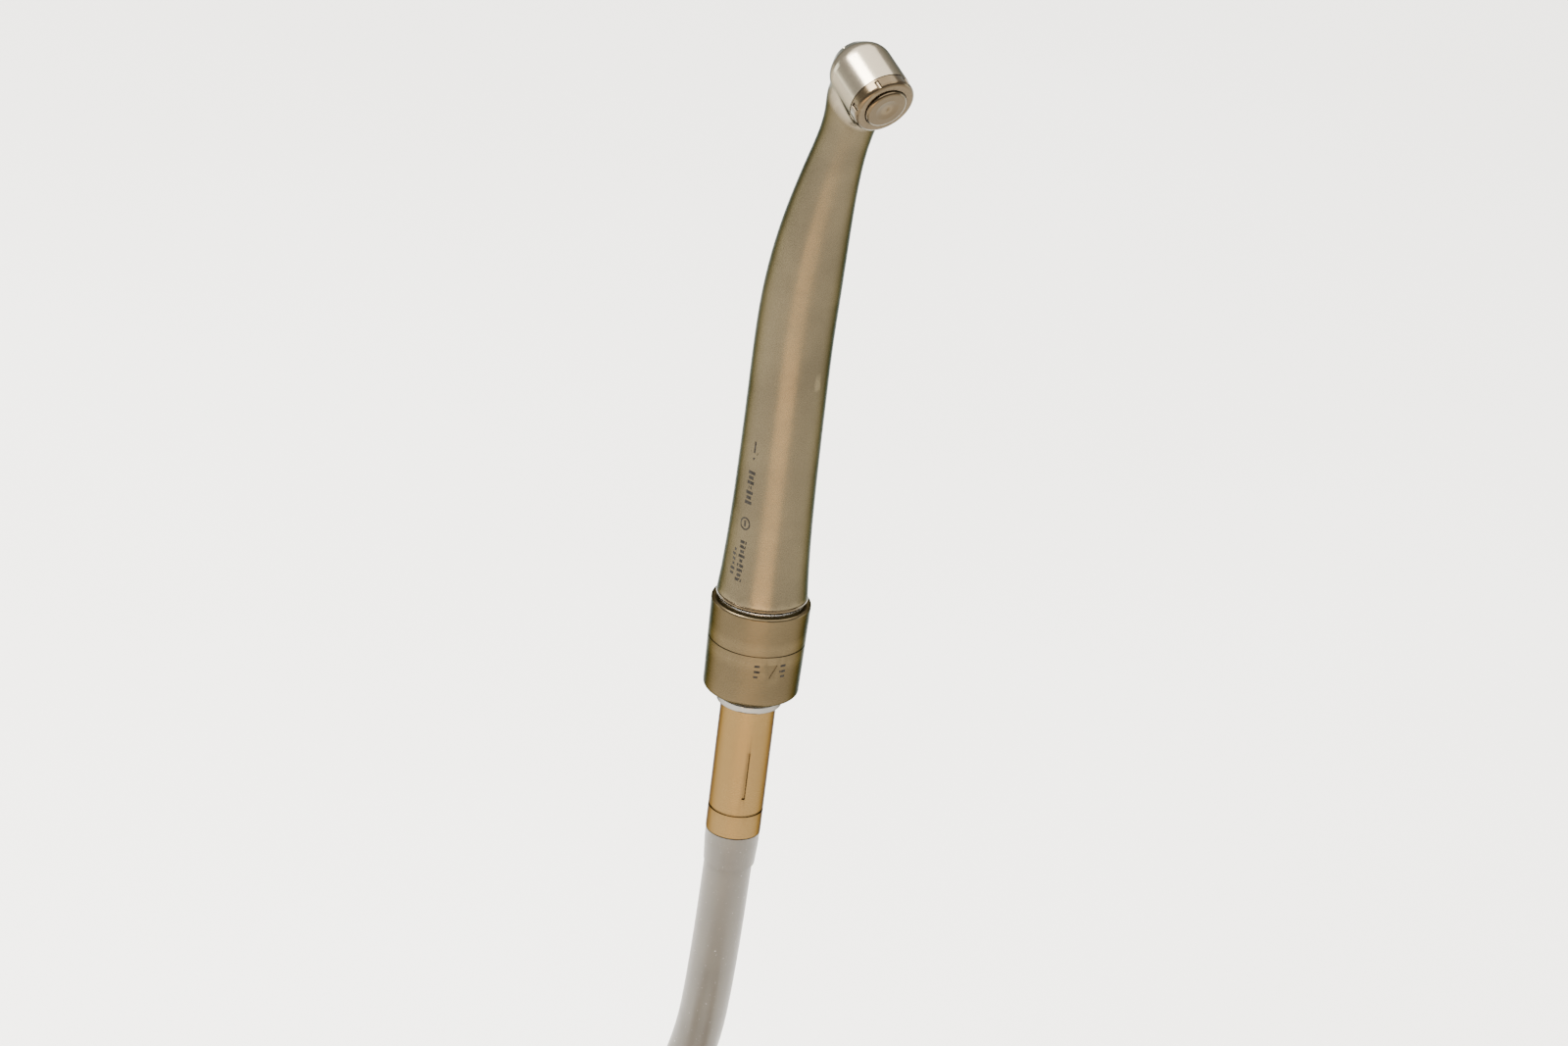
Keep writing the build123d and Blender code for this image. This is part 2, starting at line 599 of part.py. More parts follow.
PARTS = {
    "body_shell": body_shell(),
    "tail_insert": tail_insert(),
    "drive_air_tube": line_tube(DRIVE_LINE, SPIGOT_TOP + 2, HEAD_S - 5.4),
    "water_tube": line_tube(WATER_LINE, SPIGOT_TOP + 2, HEAD_S - 5.4),
    "spray_air_tube": line_tube(CHIP_LINE, SPIGOT_TOP + 2, HEAD_S - 5.4),
    "front_outer_race": HEAD * outer_race(FRONT_BEARING),
    "front_inner_race": HEAD * inner_race(FRONT_BEARING),
    "front_balls": HEAD * bearing_balls(FRONT_BEARING),
    "front_cage": HEAD * bearing_cage(FRONT_BEARING),
    "front_bearing_seal": HEAD * bearing_seal(FRONT_BEARING),
    "rear_outer_race": HEAD * outer_race(REAR_BEARING),
    "rear_inner_race": HEAD * inner_race(REAR_BEARING),
    "rear_balls": HEAD * bearing_balls(REAR_BEARING),
    "rear_cage": HEAD * bearing_cage(REAR_BEARING),
    "rear_bearing_seal": HEAD * bearing_seal(REAR_BEARING),
    "impeller": HEAD * impeller(),
    "spindle": HEAD * spindle(),
    "chuck": HEAD * chuck(),
    "chuck_plunger": HEAD * chuck_plunger(),
    "preload_washer": HEAD * wave_washer(),
    "back_cap": HEAD * back_cap(),
    "push_button": HEAD * push_button(),
    "button_spring": HEAD * button_spring(),
    "swivel_ring": swivel_ring(),
    "coupler_core": coupler_core(),
    "coupler_housing": coupler_housing(),
    "coupler_sleeve": coupler_sleeve(),
    "sleeve_spring": sleeve_spring(),
    "retaining_clip": retaining_clip(),
    "lock_balls": lock_balls(),
    "spigot_seals": spigot_seals(),
    "water_check_valve": water_check_valve(),
    "connector_gasket": four_port_disc(CORE_LOW - 0.8, CORE_LOW - 0.02),
    "hose_insert": four_port_disc(INSERT_LOW, CORE_LOW - 0.82),
    "rear_collar": rear_collar(),
    "hose_nut": hose_nut(),
    "strain_relief": strain_relief(),
    "hose_tube": hose_tube(),
    "hose_coil": hose_coil(),
    "coil_tie": coil_tie(),
    "tail_collar": tail_collar(),
    "tail_nipples": tail_nipples(),
}

os.makedirs("parts", exist_ok=True)
for name, shape in PARTS.items():
    export_step(shape, f"parts/{name}.step")
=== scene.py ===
import json
from math import atan2, ceil, cos, pi, radians, sin

import bmesh
import bpy
from mathutils import Matrix, Quaternion, Vector
from mathutils.bvhtree import BVHTree


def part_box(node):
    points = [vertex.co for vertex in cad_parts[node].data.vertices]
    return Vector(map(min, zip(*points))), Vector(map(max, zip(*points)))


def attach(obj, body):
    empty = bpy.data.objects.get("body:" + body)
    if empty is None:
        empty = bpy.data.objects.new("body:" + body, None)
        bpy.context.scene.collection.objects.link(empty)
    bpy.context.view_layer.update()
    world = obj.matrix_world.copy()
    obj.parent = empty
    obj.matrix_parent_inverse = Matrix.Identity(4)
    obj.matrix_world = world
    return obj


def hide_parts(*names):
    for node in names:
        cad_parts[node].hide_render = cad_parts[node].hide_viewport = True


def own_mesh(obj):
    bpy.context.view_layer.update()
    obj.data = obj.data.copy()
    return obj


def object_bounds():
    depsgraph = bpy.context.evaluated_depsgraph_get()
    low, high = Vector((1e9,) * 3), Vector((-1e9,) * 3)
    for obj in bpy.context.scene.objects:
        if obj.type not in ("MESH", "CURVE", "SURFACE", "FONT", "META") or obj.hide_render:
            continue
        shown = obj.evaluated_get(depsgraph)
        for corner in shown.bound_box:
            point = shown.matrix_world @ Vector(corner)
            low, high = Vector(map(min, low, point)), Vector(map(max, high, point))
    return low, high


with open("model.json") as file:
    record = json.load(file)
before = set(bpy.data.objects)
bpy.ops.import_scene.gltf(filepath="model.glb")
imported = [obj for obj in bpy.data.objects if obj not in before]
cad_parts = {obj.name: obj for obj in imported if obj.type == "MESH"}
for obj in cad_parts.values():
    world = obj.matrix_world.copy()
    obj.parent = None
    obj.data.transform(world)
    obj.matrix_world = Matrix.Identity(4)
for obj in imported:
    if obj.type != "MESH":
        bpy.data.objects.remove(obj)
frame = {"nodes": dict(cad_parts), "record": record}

CAD_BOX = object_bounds()
MM = 0.001
JOINTS = {joint["name"]: joint for joint in frame["record"]["behaviour"]["joints"]}
HEAD_PLACE = Vector(JOINTS["turbine_spin"]["pos_m"])
HEAD_AXIS = Vector(JOINTS["turbine_spin"]["axis"])      # towards the cap


# ---- camera -----------------------------------------------------------------------------------

AZIMUTH = 55.0             # degrees round from -Y towards +X
ELEVATION = 25.0
ROLL = 7.2
LENS = 135.0
SENSOR = 36.0
VIEW_LOW = -66 * MM        # lowest and highest height framed, on the grip's axis
VIEW_HIGH = 137 * MM
AIM_X = 4 * MM
FRAME_SHAPE = 1067 / 1600   # height of the picture over its width
BACK = Vector((
    sin(radians(AZIMUTH)) * cos(radians(ELEVATION)),
    -cos(radians(AZIMUTH)) * cos(radians(ELEVATION)),
    sin(radians(ELEVATION)),
))
LEVEL_BACK = Vector((BACK.x, BACK.y, 0)).normalized()
RIGHT = Vector((cos(radians(AZIMUTH)), sin(radians(AZIMUTH)), 0))


def make_camera():
    """The camera at the photographed angle, framing the handpiece and the top of its hose."""
    data = bpy.data.cameras.new("camera")
    data.lens = LENS
    data.sensor_width = SENSOR
    camera = bpy.data.objects.new("camera", data)
    bpy.context.scene.collection.objects.link(camera)
    target = Vector((AIM_X, 0, (VIEW_LOW + VIEW_HIGH) / 2))
    tall = (VIEW_HIGH - VIEW_LOW) * cos(radians(ELEVATION))
    distance = tall * LENS / (SENSOR * FRAME_SHAPE)
    camera.location = target + BACK * distance
    camera.rotation_mode = "QUATERNION"
    level = (-BACK).to_track_quat("-Z", "Y")
    camera.rotation_quaternion = level @ Quaternion((0, 0, 1), radians(ROLL))
    data.clip_start = distance * 0.05
    data.clip_end = distance * 50
    bpy.context.scene.camera = camera


make_camera()


# ---- hose -------------------------------------------------------------------------------------

HOSE_RADIUS = 4.4
HOSE_ROUTE = [
    (0.0, 0.0, -14.0),
    (0.0, 0.0, -49.0),
    (-6.7, 1.8, -85.2),
    (-10.6, -19.1, -114.5),
    (-8.0, -52.2, -127.4),
    (13.0, -80.5, -130.9),
]
COIL_X = 47.92             # centre of the coil
COIL_Y = -33.55
COIL_START = atan2(HOSE_ROUTE[-1][1] - COIL_Y, HOSE_ROUTE[-1][0] - COIL_X)
LANE_OUTER = 58.5
FIRST_PITCH = 12.6         # from the first turn to the second
LANE_PITCH = 9.1           # between the others
LAYER = 8.9
INWARD_TURNS = 2.3         # on the surface, winding inwards
RISE_TURNS = 0.35          # up onto the turns below
ALL_TURNS = 4.6
POINTS_PER_TURN = 16


def smooth(value, start, end):
    """0 before start, 1 after end, and a smooth step between."""
    share = min(max((value - start) / (end - start), 0.0), 1.0)
    return share * share * (3 - 2 * share)


def coil_lane(turn):
    """(radius, height) of the hose's centre line after some turns of the coil, in millimetres."""
    if turn < INWARD_TURNS:
        lane = LANE_OUTER - FIRST_PITCH * min(turn, 1.0) - LANE_PITCH * max(turn - 1.0, 0.0)
    else:
        inmost = LANE_OUTER - FIRST_PITCH - LANE_PITCH * (INWARD_TURNS - 1)
        lane = inmost + LANE_PITCH * max(turn - INWARD_TURNS - RISE_TURNS, 0.0)
    lift = LAYER * smooth(turn, INWARD_TURNS - 0.05, INWARD_TURNS + RISE_TURNS)
    return lane, HOSE_ROUTE[-1][2] + lift


def coil_point(turn):
    lane, height = coil_lane(turn)
    angle = COIL_START + 2 * pi * turn
    return (COIL_X + lane * cos(angle), COIL_Y + lane * sin(angle), height)


def spline_points():
    """The route's own points, then the coil's."""
    steps = round(ALL_TURNS * POINTS_PER_TURN)
    coil = [coil_point(ALL_TURNS * i / steps) for i in range(1, steps + 1)]
    return HOSE_ROUTE + coil


def make_hose():
    curve = bpy.data.curves.new("hose", "CURVE")
    curve.dimensions = "3D"
    spline = curve.splines.new("NURBS")
    points = spline_points()
    spline.points.add(len(points) - 1)
    for slot, point in zip(spline.points, points):
        slot.co = (*[v * MM for v in point], 1.0)
        slot.radius = HOSE_RADIUS * MM      # the curve's own box reaches this far past its points
    spline.order_u = 3
    spline.use_endpoint_u = True
    spline.resolution_u = 12
    curve.bevel_depth = 1.0                 # times each point's radius
    curve.bevel_resolution = 10
    curve.use_fill_caps = True
    hose = bpy.data.objects.new("hose", curve)
    bpy.context.scene.collection.objects.link(hose)
    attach(hose, "coupler")
    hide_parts("hose_tube", "hose_coil")
    return hose


# ---- pieces made in mesh code -----------------------------------------------------------------

def new_piece(name, mesh, body):
    """Puts a mesh in the scene as a piece of that body and material slot."""
    piece = bpy.data.objects.new(name, mesh)
    bpy.context.scene.collection.objects.link(piece)
    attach(piece, body)
    return piece


def hull(points):
    """The convex outline of 2-D points, counter-clockwise."""
    def half(ordered):
        chain = []
        for p in ordered:
            while len(chain) > 1:
                a, b = chain[-2], chain[-1]
                if (b[0] - a[0]) * (p[1] - a[1]) - (b[1] - a[1]) * (p[0] - a[0]) > 0:
                    break
                chain.pop()
            chain.append(p)
        return chain[:-1]
    ordered = sorted(points)
    return half(ordered) + half(ordered[::-1])


def even_loop(points, step):
    """A closed 2-D outline as points an even step apart."""
    closed = [Vector(p) for p in points] + [Vector(points[0])]
    lengths = [(b - a).length for a, b in zip(closed, closed[1:])]
    count = ceil(sum(lengths) / step)
    out = []
    walked, index = 0.0, 0
    for i in range(count):
        goal = sum(lengths) * i / count
        while walked + lengths[index] < goal:
            walked += lengths[index]
            index += 1
        share = (goal - walked) / lengths[index]
        out.append(closed[index].lerp(closed[index + 1], share))
    return out


STRAP_ANGLE = 90.0         # degrees past the coil's first point
STRAP_WIDTH = 9.0
STRAP_THICK = 0.75
STRAP_CELLS = 12           # across the strap
STRAP_GAP = 0.08           # from the hose
STRAP_STEP = 0.9           # between points along the strap
LAP_START = 0.18           # the lap, as shares of the way round
LAP_END = 0.52
LAP_GAP = 0.12             # between the lap and the layer under it


def strap_outline(gap):
    """The strap's path round the hose's turns, gap away from them, as (radius, height) points."""
    first = STRAP_ANGLE / 360
    centres = [coil_lane(first + k) for k in range(5) if first + k <= ALL_TURNS]
    reach = HOSE_RADIUS + gap
    turns = [2 * pi * i / 40 for i in range(40)]
    return hull([(r + reach * cos(a), z + reach * sin(a)) for r, z in centres for a in turns])


def strap_band(bm, uv, outline, first, last, low, high):
    """Adds a stretch of strap from path point first to last, between two distances off the path."""
    count = len(outline)
    turned = Matrix.Rotation(COIL_START + radians(STRAP_ANGLE), 4, "Z")
    place = Matrix.Translation((COIL_X, COIL_Y, 0)) @ turned
    rows = []
    for i in range(first, last + 1):
        here = outline[i % count]
        along = (outline[(i + 1) % count] - outline[(i - 1) % count]).normalized()
        out = Vector((along.y, -along.x))
        ends = min(i - first, last - i)
        row = []
        for j in range(STRAP_CELLS + 1):
            across = 2 * j / STRAP_CELLS - 1
            crown = 0.10 * (1 - across ** 4)
            side = across * STRAP_WIDTH / 2
            slack = 0.05 * sin(i * 0.37) * (1 if ends else 0)
            for off in (low, high + crown + slack):
                spot = here + out * off
                row.append(bm.verts.new(place @ Vector((spot.x, side, spot.y)) * MM))
        rows.append(row)
    faces = []
    closed = last - first == count
    for r, (a, b) in enumerate(zip(rows, rows[1:])):
        for j in range(STRAP_CELLS):
            k = 2 * j
            faces.append((r, j, bm.faces.new((a[k], a[k + 2], b[k + 2], b[k]))))
            faces.append((r, j, bm.faces.new((a[k + 1], b[k + 1], b[k + 3], a[k + 3]))))
        faces.append((r, 0, bm.faces.new((a[0], b[0], b[1], a[1]))))
        faces.append((r, STRAP_CELLS - 1, bm.faces.new((a[-2], a[-1], b[-1], b[-2]))))
    if not closed:
        for row in (rows[0], rows[-1]):
            for j in range(STRAP_CELLS):
                k = 2 * j
                faces.append((0, j, bm.faces.new((row[k], row[k + 1], row[k + 3], row[k + 2]))))
    for r, j, face in faces:
        for loop in face.loops:
            vertex = place.inverted() @ (loop.vert.co / MM)
            loop[uv].uv = ((first + r) / 10, vertex.y / 10)


def make_strap():
    """A woven hook and loop strap, pulled round the coil and lapped over itself."""
    bm = bmesh.new()
    uv = bm.loops.layers.uv.new("UVMap")
    outline = even_loop(strap_outline(STRAP_GAP), STRAP_STEP)
    count = len(outline)
    strap_band(bm, uv, outline, 0, count, 0.0, STRAP_THICK)
    lap = round(count * LAP_START), round(count * LAP_END)
    strap_band(bm, uv, outline, *lap, STRAP_THICK + LAP_GAP, 2 * STRAP_THICK)
    bmesh.ops.remove_doubles(bm, verts=bm.verts, dist=1e-6)
    bmesh.ops.recalc_face_normals(bm, faces=bm.faces)
    mesh = bpy.data.meshes.new("coil_strap")
    bm.to_mesh(mesh)
    bm.free()
    mesh.shade_smooth()
    strap = new_piece("coil_strap", mesh, "coupler")
    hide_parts("coil_tie")
    return strap


SLEEVE_WIRE = 0.5
SLEEVE_TURNS = 4.5
BUTTON_WIRE = 0.28
BUTTON_RADIUS = 2.15
BUTTON_TURNS = 1.6
BUTTON_LOW = 5.23          # along the head's axis, from the turbine's middle
BUTTON_HIGH = 6.27


def make_spring(name, node, body, place, axis, radius, wire, low, high, turns):
    """A closed-end compression spring about an axis, as a mesh, in place of its CAD node."""
    curve = bpy.data.curves.new(name, "CURVE")
    curve.dimensions = "3D"
    spline = curve.splines.new("POLY")
    rise = high - low - wire
    steps = round((turns + 1.5) * 40)
    spline.points.add(steps)
    frame_axes = axis.to_track_quat("Z", "X").to_matrix().to_4x4()
    for i, slot in enumerate(spline.points):
        turn = (turns + 1.5) * i / steps
        height = low + wire / 2 + rise * min(max((turn - 0.75) / turns, 0.0), 1.0)
        angle = 2 * pi * turn
        local = Vector((radius * cos(angle), radius * sin(angle), height)) * MM
        slot.co = (*(place + frame_axes @ local), 1.0)
    curve.bevel_depth = wire / 2 * MM * 0.98
    curve.bevel_resolution = 3
    curve.use_fill_caps = True
    shape = bpy.data.objects.new(name + "_line", curve)
    bpy.context.scene.collection.objects.link(shape)
    bpy.context.view_layer.update()
    mesh = bpy.data.meshes.new_from_object(shape)
    bpy.data.objects.remove(shape)
    mesh.name = name
    mesh.shade_smooth()
    spring = new_piece(name, mesh, body)
    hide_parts(node)
    return spring


def make_springs():
    """Both springs, each with a mesh of its own; in the handpiece they shorten as their joints move."""
    sleeve_low, sleeve_high = [corner.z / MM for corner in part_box("sleeve_spring")]
    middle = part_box("sleeve_spring")[1].x / MM - SLEEVE_WIRE / 2
    spring = make_spring(
        "sleeve_coil_spring", "sleeve_spring", "coupler", Vector((0, 0, 0)), Vector((0, 0, 1)),
        middle, SLEEVE_WIRE, sleeve_low, sleeve_high, SLEEVE_TURNS,
    )
    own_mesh(spring)
    spring = make_spring(
        "button_coil_spring", "button_spring", "handpiece", HEAD_PLACE, HEAD_AXIS,
        BUTTON_RADIUS, BUTTON_WIRE, BUTTON_LOW, BUTTON_HIGH, BUTTON_TURNS,
    )
    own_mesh(spring)


# ---- etched marks: flat shapes in (round, up) millimetres, laid on a turned surface ---------------

def bar(left, low, right, high):
    """A rectangle as small cells, so that it follows a curved surface."""
    nu = max(1, ceil((right - left) / CELL))
    nv = max(1, ceil((high - low) / CELL))
    cells = []
    for i in range(nu):
        for j in range(nv):
            u0, u1 = left + (right - left) * i / nu, left + (right - left) * (i + 1) / nu
            v0, v1 = low + (high - low) * j / nv, low + (high - low) * (j + 1) / nv
            cells.append([(u0, v0), (u1, v0), (u1, v1), (u0, v1)])
    return cells


def ring(u, v, outer, inner, count=28):
    turns = [2 * pi * i / count for i in range(count + 1)]
    cells = []
    for a, b in zip(turns, turns[1:]):
        corners = [(outer, a), (outer, b), (inner, b), (inner, a)]
        cells.append([(u + r * cos(t), v + r * sin(t)) for r, t in corners])
    return cells


def arrow(u, v, size):
    return [[(u - size * 0.6, v + size / 2), (u, v - size / 2), (u + size * 0.6, v + size / 2)]]


def ticks(u, low, count, pitch, widths, high):
    """A column of short bars, with widths repeated in order."""
    cells = []
    for i in range(count):
        v = low + pitch * i
        cells += bar(u - widths[i % len(widths)] / 2, v, u + widths[i % len(widths)] / 2, v + high)
    return cells


def make_marks(name, node, body, angle, cells, lift):
    """Lays flat cells on a node's surface round the grip's axis, lifted off it in millimetres."""
    source = frame["nodes"][node].data
    tree = BVHTree.FromPolygons([v.co for v in source.vertices], [p.vertices for p in source.polygons])
    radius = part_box(node)[1].y
    bm = bmesh.new()
    for cell in cells:
        corners = []
        for u, v in cell:
            turn = radians(angle) + u * MM / radius
            out = Vector((cos(turn), sin(turn), 0))
            hit, normal, _, _ = tree.ray_cast(out * 3 * radius + Vector((0, 0, v * MM)), -out)
            corners.append(bm.verts.new(hit + out * lift * MM))
        bm.faces.new(corners)
    bmesh.ops.remove_doubles(bm, verts=bm.verts, dist=1e-7)
    mesh = bpy.data.meshes.new(name)
    bm.to_mesh(mesh)
    bm.free()
    mesh.shade_smooth()
    return new_piece(name, mesh, body)


GRIP_MARK_ANGLE = -73.0    # round the axis, on the side turned left of the camera
SLEEVE_MARK_ANGLE = -14.0
MARK_LIFT = 0.012          # off the metal
CELL = 0.8                 # longest side of a cell


def make_all_marks():
    """Generic etched marks: strokes, a ring and an arrow on the grip, and lines on the sleeve."""
    grip = ticks(0.3, 24.6, 9, 0.9, [1.5, 0.9, 1.3, 1.5, 0.7], 0.55)
    grip += ticks(-1.5, 25.4, 6, 0.9, [0.9, 1.2, 0.6], 0.48)
    grip += ring(0.0, 35.6, 1.25, 0.95) + bar(-0.22, 35.0, 0.22, 36.2)
    grip += ticks(0.0, 39.4, 7, 0.95, [1.7, 1.2, 1.7, 0.8], 0.62)
    grip += arrow(0.0, 48.6, 1.7) + bar(-0.2, 49.2, 0.2, 51.4)
    sleeve = bar(-3.0, 9.3, -2.0, 9.75) + bar(-3.0, 8.2, -1.9, 8.65) + bar(-3.0, 7.2, -2.2, 7.6)
    sleeve += bar(2.0, 9.3, 3.1, 9.75) + bar(1.9, 8.2, 3.1, 8.65) + bar(2.2, 7.2, 3.1, 7.6)
    return [
        make_marks("grip_marks", "body_shell", "handpiece", GRIP_MARK_ANGLE, grip, MARK_LIFT),
        make_marks("sleeve_marks", "coupler_sleeve", "sleeve", SLEEVE_MARK_ANGLE, sleeve, MARK_LIFT),
    ]


# ---- materials --------------------------------------------------------------------------------

class Shader:
    """A material being built, with the few nodes that the finishes share."""

    def __init__(self, name):
        self.material = bpy.data.materials.new(name)
        self.material.use_nodes = True
        self.nodes = self.material.node_tree.nodes
        self.links = self.material.node_tree.links
        self.surface = self.nodes["Principled BSDF"]
        self.place = self.nodes.new("ShaderNodeTexCoord").outputs["Object"]

    def stretch(self, scale, source=None):
        """Coordinates scaled by a different amount along each axis."""
        node = self.nodes.new("ShaderNodeMapping")
        node.inputs["Scale"].default_value = scale
        self.links.new(source or self.place, node.inputs["Vector"])
        return node.outputs["Vector"]

    def noise(self, scale, detail=3.0, vector=None, distortion=0.0):
        """Noise with its scale in features per metre."""
        node = self.nodes.new("ShaderNodeTexNoise")
        node.inputs["Scale"].default_value = scale
        node.inputs["Detail"].default_value = detail
        node.inputs["Distortion"].default_value = distortion
        self.links.new(vector or self.place, node.inputs["Vector"])
        return node.outputs["Fac"]

    def ramp(self, value, stops):
        """A colour ramp with (position, colour) stops."""
        node = self.nodes.new("ShaderNodeValToRGB")
        elements = node.color_ramp.elements
        while len(elements) < len(stops):
            elements.new(0.5)
        for element, (position, colour) in zip(elements, stops):
            element.position = position
            element.color = (*colour, 1.0)
        self.links.new(value, node.inputs["Fac"])
        return node.outputs["Color"]

    def mask(self, value, low, high):
        """0 where the value is under low and 1 over high."""
        return self.ramp(value, [(low, (0, 0, 0)), (high, (1, 1, 1))])

    def mix(self, factor, first, second):
        """Two colours, or a colour and fixed values, mixed by a factor."""
        node = self.nodes.new("ShaderNodeMix")
        node.data_type = "RGBA"
        self.links.new(factor, node.inputs["Factor"])
        for name, colour in (("A", first), ("B", second)):
            if isinstance(colour, tuple):
                node.inputs[name].default_value = (*colour, 1.0)
            else:
                self.links.new(colour, node.inputs[name])
        return node.outputs["Result"]

    def join(self, operation, first, second):
        node = self.nodes.new("ShaderNodeMath")
        node.operation = operation
        for index, value in enumerate((first, second)):
            if isinstance(value, float):
                node.inputs[index].default_value = value
            else:
                self.links.new(value, node.inputs[index])
        return node.outputs[0]

    def spread(self, value, low, high):
        """A 0 to 1 value mapped to low to high."""
        node = self.nodes.new("ShaderNodeMapRange")
        node.inputs["To Min"].default_value = low
        node.inputs["To Max"].default_value = high
        self.links.new(value, node.inputs["Value"])
        return node.outputs["Result"]

    def near_line(self, point, direction, reach):
        """1 within reach of a line, falling to 0 over the next millimetre; in metres."""
        offset, across, away = (self.nodes.new("ShaderNodeVectorMath") for _ in range(3))
        offset.operation, across.operation, away.operation = "SUBTRACT", "CROSS_PRODUCT", "LENGTH"
        offset.inputs[1].default_value = point
        across.inputs[1].default_value = direction
        self.links.new(self.place, offset.inputs[0])
        self.links.new(offset.outputs["Vector"], across.inputs[0])
        self.links.new(across.outputs["Vector"], away.inputs[0])
        return self.ramp(away.outputs["Value"], [(reach, (1, 1, 1)), (reach + MM, (0, 0, 0))])

    def colour(self, output):
        self.links.new(output, self.surface.inputs["Base Color"])

    def roughness(self, output):
        self.links.new(output, self.surface.inputs["Roughness"])

    def bump(self, height, strength, distance):
        node = self.nodes.new("ShaderNodeBump")
        node.inputs["Strength"].default_value = strength
        node.inputs["Distance"].default_value = distance
        self.links.new(height, node.inputs["Height"])
        self.links.new(node.outputs["Normal"], self.surface.inputs["Normal"])

    def set(self, **values):
        for name, value in values.items():
            self.surface.inputs[name.replace("_", " ")].default_value = value


def metal(name, colour, dark, rough, grain=4000.0, lines=(1, 1, 1), bump=0.12, marks=0.5,
          edge=(0.9, 0.92, 0.9), polished=None):
    """A bare metal: uneven tone, fine grain along its finish, hairline scratches, worn edges.

    edge tints the reflection at grazing angles. The last argument is a line and its reach, within which
    the metal has a brighter tone, which is painted brightness, and less roughness from real polish:
    (point, direction, reach, tone, less).
    """
    s = Shader(name)
    cloud = s.noise(70.0, 4.0, distortion=0.4)
    tone = s.ramp(cloud, [(0.34, dark), (0.66, colour)])
    geometry = s.nodes.new("ShaderNodeNewGeometry")
    worn = s.mask(geometry.outputs["Pointiness"], 0.505, 0.56)
    tone = s.mix(worn, tone, tuple(min(1.0, c * 1.2) for c in colour))
    # painted brightness: a lighter tone within reach of the head's axis; the lower roughness there is
    # real polish
    if polished:
        *line, painted_bright_tone, smoothness = polished
        head = s.near_line(*line)
        tone = s.mix(head, tone, painted_bright_tone)
    fine = s.noise(grain, 2.0, s.stretch(lines))
    scratch = s.noise(420.0, 3.0, s.stretch((1.0, 1.0, 0.06)), 1.2)
    hair = s.mask(scratch, 0.66, 0.70)
    finger = s.mask(s.noise(28.0, 2.0, distortion=1.0), 0.52, 0.70)
    base = s.spread(fine, rough - 0.05, rough + 0.07)
    smudged = s.join("ADD", base, s.spread(finger, 0.0, 0.07))
    if polished:
        smudged = s.join("SUBTRACT", smudged, s.spread(head, 0.0, smoothness))
    s.roughness(s.join("ADD", smudged, s.spread(hair, 0.0, 0.10 * marks)))
    s.colour(tone)
    s.set(Metallic=1.0, Specular_Tint=(*edge, 1.0))
    s.bump(s.join("SUBTRACT", fine, s.spread(hair, 0.0, marks)), bump, 0.00002)
    return s.material


def soft(name, colour, dark, rough, grain, bump, dust=0.0):
    """A rubber or resin: mottled colour, moulded grain, scuffs, and a little dust."""
    s = Shader(name)
    cloud = s.noise(85.0, 4.0, distortion=0.3)
    tone = s.ramp(cloud, [(0.3, dark), (0.7, colour)])
    fine = s.noise(grain, 3.0)
    specks = s.mask(s.noise(2600.0, 2.0), 0.70, 0.78)
    tone = s.mix(s.spread(specks, 0.0, dust), tone, (0.62, 0.60, 0.56))
    s.colour(tone)
    scuff = s.mask(s.noise(60.0, 5.0, distortion=1.5), 0.50, 0.72)
    s.roughness(s.join("ADD", s.spread(fine, rough - 0.06, rough + 0.08), s.spread(scuff, 0.0, 0.12)))
    s.bump(fine, bump, 0.00004)
    return s.material


def woven(name, colour, dark):
    """Woven nylon tape: two crossed ribs of yarn, on the strap's own coordinates."""
    s = Shader(name)
    place = s.nodes.new("ShaderNodeTexCoord").outputs["UV"]
    yarns = []
    for direction in ("X", "Y"):
        wave = s.nodes.new("ShaderNodeTexWave")
        wave.bands_direction = direction
        wave.inputs["Scale"].default_value = 5.2
        wave.inputs["Distortion"].default_value = 0.5
        wave.inputs["Detail"].default_value = 1.0
        s.links.new(place, wave.inputs["Vector"])
        yarns.append(wave.outputs["Fac"])
    weave = s.join("MULTIPLY", yarns[0], yarns[1])
    fuzz = s.noise(9000.0, 3.0)
    s.colour(s.ramp(s.join("MULTIPLY", weave, fuzz), [(0.05, dark), (0.5, colour)]))
    s.roughness(s.spread(fuzz, 0.7, 0.95))
    s.set(Sheen_Weight=0.35, Sheen_Roughness=0.5)
    s.bump(weave, 0.6, 0.00012)
    return s.material


def etched(name):
    """Laser-blackened metal: dark, matt and slightly uneven."""
    s = Shader(name)
    patch = s.noise(1500.0, 3.0)
    s.colour(s.ramp(patch, [(0.3, (0.008, 0.007, 0.006)), (0.7, (0.022, 0.02, 0.017))]))
    s.roughness(s.spread(s.noise(6000.0, 2.0), 0.42, 0.62))
    s.set(Specular_IOR_Level=0.05)
    s.bump(patch, 0.2, 0.00001)
    return s.material


TURNED = (0.15, 0.15, 9.0)     # fine lines round the axis, as a lathe leaves them
SATIN_EDGE = (0.31, 0.345, 0.36)

